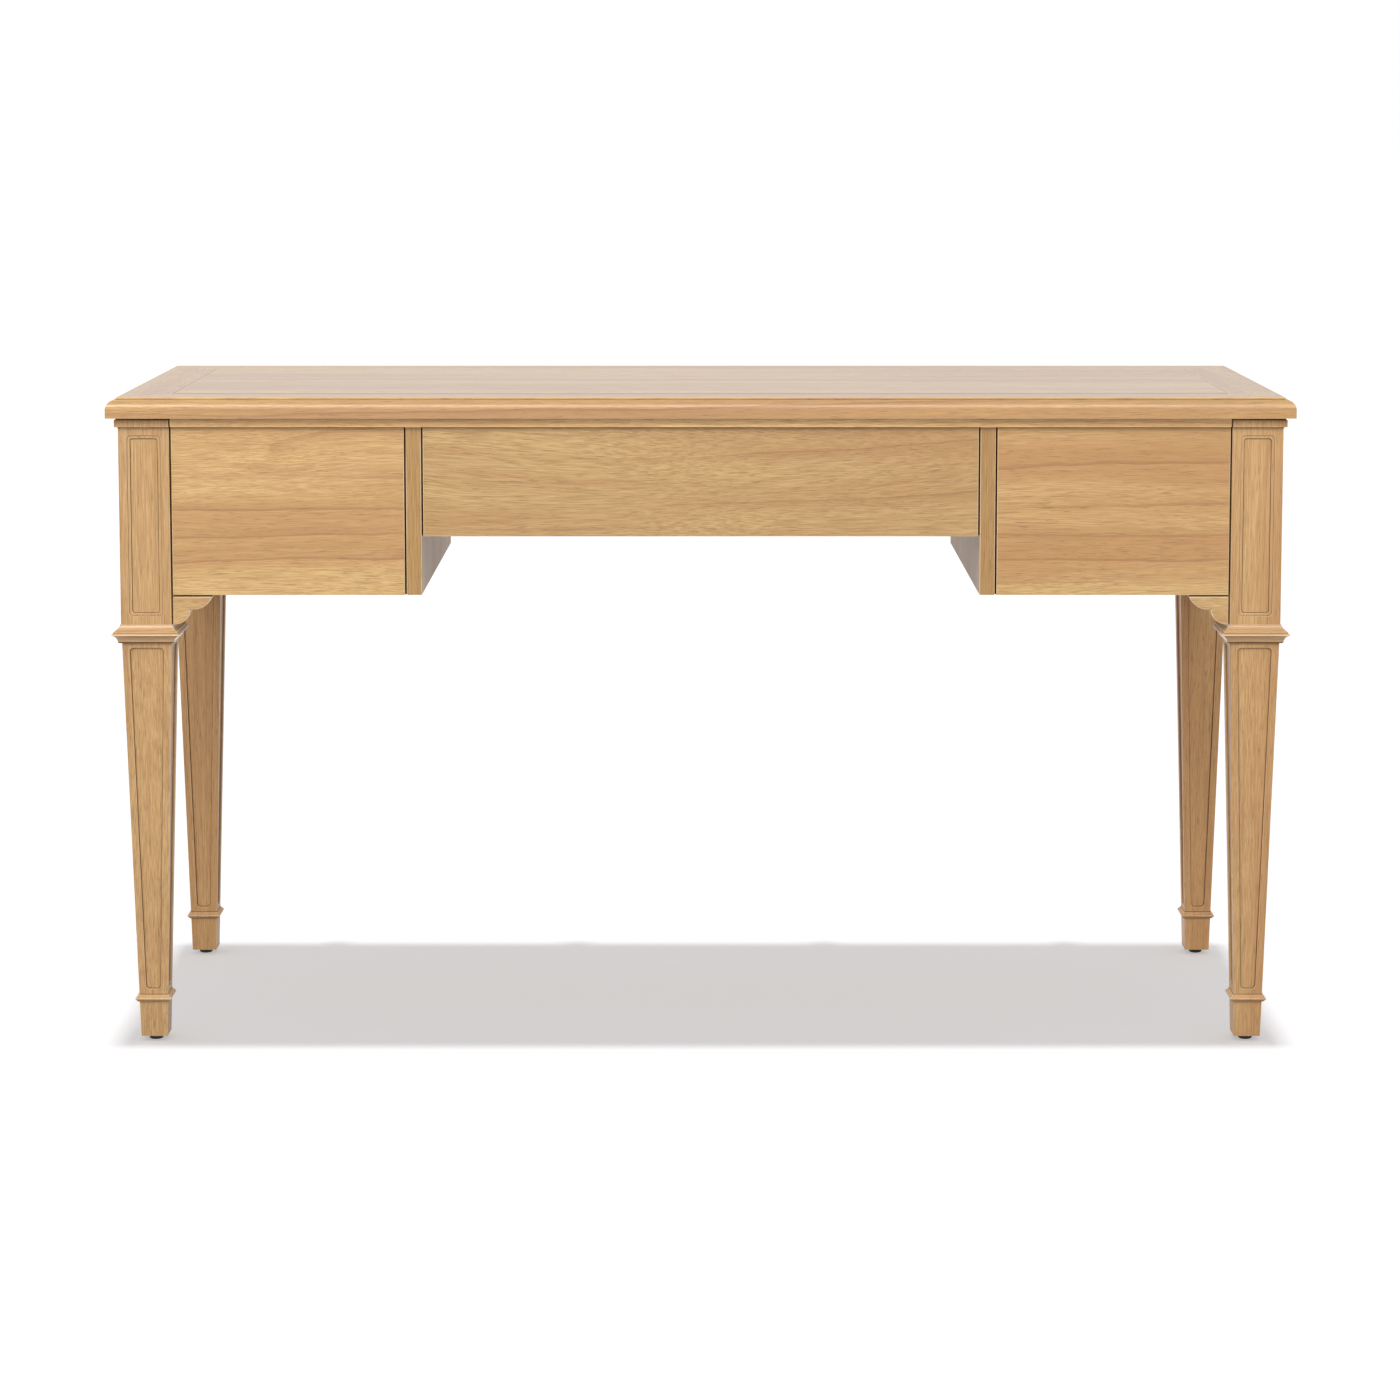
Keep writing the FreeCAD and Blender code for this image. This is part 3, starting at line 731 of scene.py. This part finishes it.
def makeBorder():
    makeBorderBoard("top_border_back", "Y+", "X")
    makeBorderBoard("top_border_front", "Y-", "X")
    makeBorderBoard("top_border_right", "X+", "Y")
    makeBorderBoard("top_border_left", "X-", "Y")
    print("top border: 4 boards")


# ---- leg collars: one section turned about the leg in four steps, which mitres it

collarValues = {
    "legHalf": 0.030, "shelf": 0.001, "shoulder": 0.007, "lipDrop": 0.0115, "lipHeight": 0.0006,
    "footReach": 0.0036, "footHeight": 0.003, "curveSteps": 6, "ease": 0.00025,
    "shadeBevel": 0.0005, "shadowLine": 0.0015, "upperBulge": 0.0010, "coveBulge": 0.0013,
}
glideRadius = 0.0085


def legAxes():
    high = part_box("floor_glides")[1]
    x, y = high.x - glideRadius, high.y - glideRadius
    return {
        "front_left": (-x, -y), "front_right": (x, -y),
        "back_left": (-x, y), "back_right": (x, y),
    }


def curvePoints(start, end, bulge, steps):
    # a parabola from start to end that stands off its chord by bulge; both ends included
    run = Vector(end) - Vector(start)
    out = Vector((-run.y, run.x)).normalized()
    points = []
    for i in range(steps + 1):
        share = i / steps
        point = Vector(start) + run * share + out * bulge * 4 * share * (1 - share)
        points.append((point.x, point.y))
    return points


def makeCollar(corner, axis):
    c = collarValues
    node = "leg_collar_" + corner
    low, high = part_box(node)
    height = high.z - low.z
    reach = (high.x - low.x) / 2 - c["legHalf"]
    shoulder = c["shelf"] + c["shoulder"]
    lipLow = c["lipDrop"] + c["lipHeight"]
    coveEnd = height - c["footHeight"]
    outline = [(0.0, 0.0), (c["shelf"], 0.0)]
    outline += curvePoints(
        (c["shelf"], c["shelf"]), (shoulder, shoulder), c["upperBulge"], c["curveSteps"])
    outline += [(shoulder, shoulder + c["shelf"]), (reach, c["lipDrop"])]
    outline += curvePoints(
        (reach, lipLow), (c["footReach"], coveEnd), c["coveBulge"], c["curveSteps"])
    outline += [(c["footReach"], height), (0.0, height)]
    bm = bmesh.new()
    verts = []
    for out, drop in outline:
        half = c["legHalf"] + out
        verts.append(bm.verts.new((half, half, high.z - drop)))
    edges = [bm.edges.new((verts[i - 1], verts[i])) for i in range(len(verts))]
    bmesh.ops.spin(
        bm, geom=verts + edges, cent=(0, 0, 0), axis=(0, 0, 1), dvec=(0, 0, 0),
        angle=math.tau, steps=4, use_merge=True,
    )
    mergeCorners(bm)
    bmesh.ops.recalc_face_normals(bm, faces=bm.faces)
    # painted shadow along the collar's lower edge
    darkenEdge(bm, low.z, c["shadowLine"])
    softenEdges(bm, c["ease"], c["shadeBevel"])
    for face in bm.faces:
        centre = face.calc_center_median()
        face.material_index = 1 if abs(centre.x) > abs(centre.y) else 0
    bmesh.ops.translate(bm, vec=(axis[0], axis[1], 0), verts=bm.verts)
    finishPiece(bm, [node], [woodOf(node, "X", collarWood), woodOf(node, "Y", collarWood)])


# ---- floor glides and knobs, turned on a lathe

glideProfile = [  # radius, height above the floor
    (0.0, 0.0), (0.0070, 0.0), (0.0080, 0.0006), (0.0085, 0.0016), (0.0085, 0.0046),
    (0.0080, 0.0056), (0.0076, 0.0060), (0.0030, 0.0060), (0.0030, 0.0236), (0.0, 0.0236),
]
knobProfile = [  # radius, distance out from the drawer front
    (0.0, -0.0202), (0.0030, -0.0200), (0.0044, -0.0188), (0.0046, -0.0181), (0.00275, -0.0180),
    (0.00275, 0.0), (0.0100, 0.0), (0.0100, 0.0010), (0.0094, 0.0018), (0.0080, 0.0021),
    (0.0076, 0.0027), (0.0060, 0.0031), (0.0048, 0.0042), (0.0042, 0.0062), (0.0041, 0.0085),
    (0.0044, 0.0110), (0.0055, 0.0136), (0.0078, 0.0158), (0.0110, 0.0172), (0.0136, 0.0180),
    (0.0147, 0.0188), (0.0150, 0.0199), (0.0147, 0.0209), (0.0139, 0.0216), (0.0131, 0.0217),
    (0.0126, 0.0224), (0.0112, 0.0233), (0.0085, 0.0242), (0.0045, 0.0248), (0.0, 0.0250),
]


latheSteps = {"glides": 32, "knobs": 48}


def lathe(bm, profile, steps):
    verts = [bm.verts.new((radius, 0, height)) for radius, height in profile]
    edges = [bm.edges.new(pair) for pair in zip(verts, verts[1:])]
    bmesh.ops.spin(
        bm, geom=verts + edges, cent=(0, 0, 0), axis=(0, 0, 1), dvec=(0, 0, 0),
        angle=math.tau, steps=steps, use_merge=True,
    )
    mergeCorners(bm)
    bmesh.ops.recalc_face_normals(bm, faces=bm.faces)


def latheCopies(profile, steps, matrices):
    whole = bmesh.new()
    for matrix in matrices:
        one = bmesh.new()
        lathe(one, profile, steps)
        bmesh.ops.transform(one, matrix=matrix, verts=one.verts)
        mesh = bpy.data.meshes.new("turned")
        one.to_mesh(mesh)
        one.free()
        whole.from_mesh(mesh)
        bpy.data.meshes.remove(mesh)
    return whole


def makeGlides():
    spots = [Matrix.Translation((x, y, 0)) for x, y in legAxes().values()]
    turned = latheCopies(glideProfile, latheSteps["glides"], spots)
    finishPiece(turned, ["floor_glides"], [glideMaterial()])
    print("floor glides: 4")


def makeKnobs():
    brass = brassMaterial()
    outward = Matrix.Rotation(math.pi / 2, 4, "X")
    radius = max(point[0] for point in knobProfile)
    for name in ("centre_drawer_knobs", "left_drawer_knob", "right_drawer_knob"):
        low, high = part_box(name)
        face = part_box(name.rsplit("_", 1)[0] + "_front")[0].y
        height = (low.z + high.z) / 2
        spots = sorted({round(low.x + radius, 4), round(high.x - radius, 4)})
        places = [Matrix.Translation((x, face, height)) @ outward for x in spots]
        finishPiece(latheCopies(knobProfile, latheSteps["knobs"], places), [name], [brass])
    print("knobs: 4")


# ---- floor, light and camera

stageValues = {
    "floorHalf": 60.0, "floor": (0.80, 0.80, 0.815), "glow": (0.363, 0.364, 0.370),
    "bounce": 0.45, "floorRough": 0.9, "floorSpecular": 0.1,
    "backdrop": 1.0, "reflected": 0.76, "skylight": 0.42,
    "overhead": 1.5, "overheadAngle": 3.0, "overheadPlace": (0.0, 0.0, 4.0),
    "lampAim": (0.0, 0.0, 0.5),
}
lightValues = [  # name, place, size, watts; +Y is towards the camera and +X its left
    ("keyLeft", (2.2, 3.0, 3.5), 2.2, 112.0),
    ("keyMiddle", (0.0, 3.2, 3.5), 2.0, 46.0),
    ("keyRight", (-2.2, 3.0, 3.4), 2.2, 66.0),
    ("frontFill", (0.4, 5.4, 1.5), 2.2, 60.0),
    ("sitterSide", (0.6, -3.4, 2.8), 2.4, 105.0),
]
cameraValues = {
    "lens": 92.51, "sensor": 36.0, "distance": 4.4708, "height": 1.1324, "down": 5.827,
    "shift": -0.17, "aside": -0.0005, "farClip": 200.0,
}


def makeStage():
    bm = bmesh.new()
    bmesh.ops.create_grid(bm, x_segments=2, y_segments=2, size=stageValues["floorHalf"])
    mesh = bpy.data.meshes.new("studioFloor")
    bm.to_mesh(mesh)
    bm.free()
    floor = bpy.data.objects.new("studioFloor", mesh)
    bpy.context.collection.objects.link(floor)
    material, tree, shader = newMaterial("paleFloor")
    # the camera sees a white floor, and the desk is lit by a dimmer one
    v = stageValues
    diffuse = addNode(tree, "ShaderNodeLightPath").outputs["Is Diffuse Ray"]
    feed(tree, shader.inputs["Base Color"], blendColour(
        tree, diffuse, tinted(v["floor"], 1.0), tinted(v["floor"], v["bounce"])))
    feed(tree, shader.inputs["Emission Color"], blendColour(
        tree, diffuse, tinted(v["glow"], 1.0), tinted(v["glow"], v["bounce"])))
    shader.inputs["Emission Strength"].default_value = 1.0
    shader.inputs["Roughness"].default_value = v["floorRough"]
    shader.inputs["Specular IOR Level"].default_value = v["floorSpecular"]
    mesh.materials.append(material)
    return floor


def makeBackdrop():
    # a white backdrop to look at, a greyer one in reflections, and a weaker sky to light by
    world = bpy.data.worlds.new("studio")
    world.use_nodes = True
    sky = world.node_tree.nodes["Background"]
    sky.inputs["Color"].default_value = (1.0, 1.0, 1.0, 1.0)
    v = stageValues
    tree = world.node_tree
    ray = addNode(tree, "ShaderNodeLightPath").outputs
    seen = mathNode(tree, "MULTIPLY", ray["Is Camera Ray"], v["backdrop"])
    mirrored = mathNode(tree, "MULTIPLY", ray["Is Glossy Ray"], v["reflected"])
    lighting = mathNode(tree, "MULTIPLY", ray["Is Diffuse Ray"], v["skylight"])
    feed(tree, sky.inputs["Strength"], mathNode(
        tree, "MAXIMUM", mathNode(tree, "MAXIMUM", seen, mirrored), lighting))
    bpy.context.scene.world = world


def lightOnly(lamp, floor, state):
    # state INCLUDE: the lamp lights nothing but the floor; EXCLUDE: everything but the floor
    group = bpy.data.collections.new(lamp.name + "Receivers")
    group.objects.link(floor)
    group.collection_objects[0].light_linking.link_state = state
    lamp.light_linking.receiver_collection = group


def addLamp(name, kind, place, watts, aim):
    data = bpy.data.lights.new(name, kind)
    data.energy = watts
    lamp = bpy.data.objects.new(name, data)
    lamp.location = place
    lamp.rotation_euler = (Vector(aim) - Vector(place)).to_track_quat("-Z", "Y").to_euler()
    lamp.visible_camera = False
    bpy.context.collection.objects.link(lamp)
    return lamp


def makeLights(floor):
    v = stageValues
    for name, place, size, watts in lightValues:
        lamp = addLamp(name, "AREA", place, watts, v["lampAim"])
        lamp.data.size = size
        lamp.visible_glossy = name.startswith("key")
        lightOnly(lamp, floor, "EXCLUDE")
    above = addLamp("overhead", "SUN", v["overheadPlace"], v["overhead"], (0.0, 0.0, 0.0))
    above.data.angle = math.radians(v["overheadAngle"])
    lightOnly(above, floor, "INCLUDE")


def makeCamera():
    v = cameraValues
    data = bpy.data.cameras.new("camera")
    data.lens = v["lens"]
    data.sensor_width = v["sensor"]
    data.shift_x, data.shift_y = v["aside"], v["shift"]
    data.clip_end = v["farClip"]
    camera = bpy.data.objects.new("camera", data)
    camera.location = (0.0, v["distance"], v["height"])
    camera.rotation_euler = (math.radians(90.0 - v["down"]), 0.0, math.pi)
    bpy.context.collection.objects.link(camera)
    bpy.context.scene.camera = camera


bpy.context.scene.view_settings.view_transform = "Standard"
makeLights(makeStage())
makeBackdrop()
makeCamera()
print("stage, lights and camera ready")
makeBoards()
makeBorder()
for corner, axis in legAxes().items():
    makeCollar(corner, axis)
print("leg collars: 4")
makeGlides()
makeKnobs()

print("pieces done")
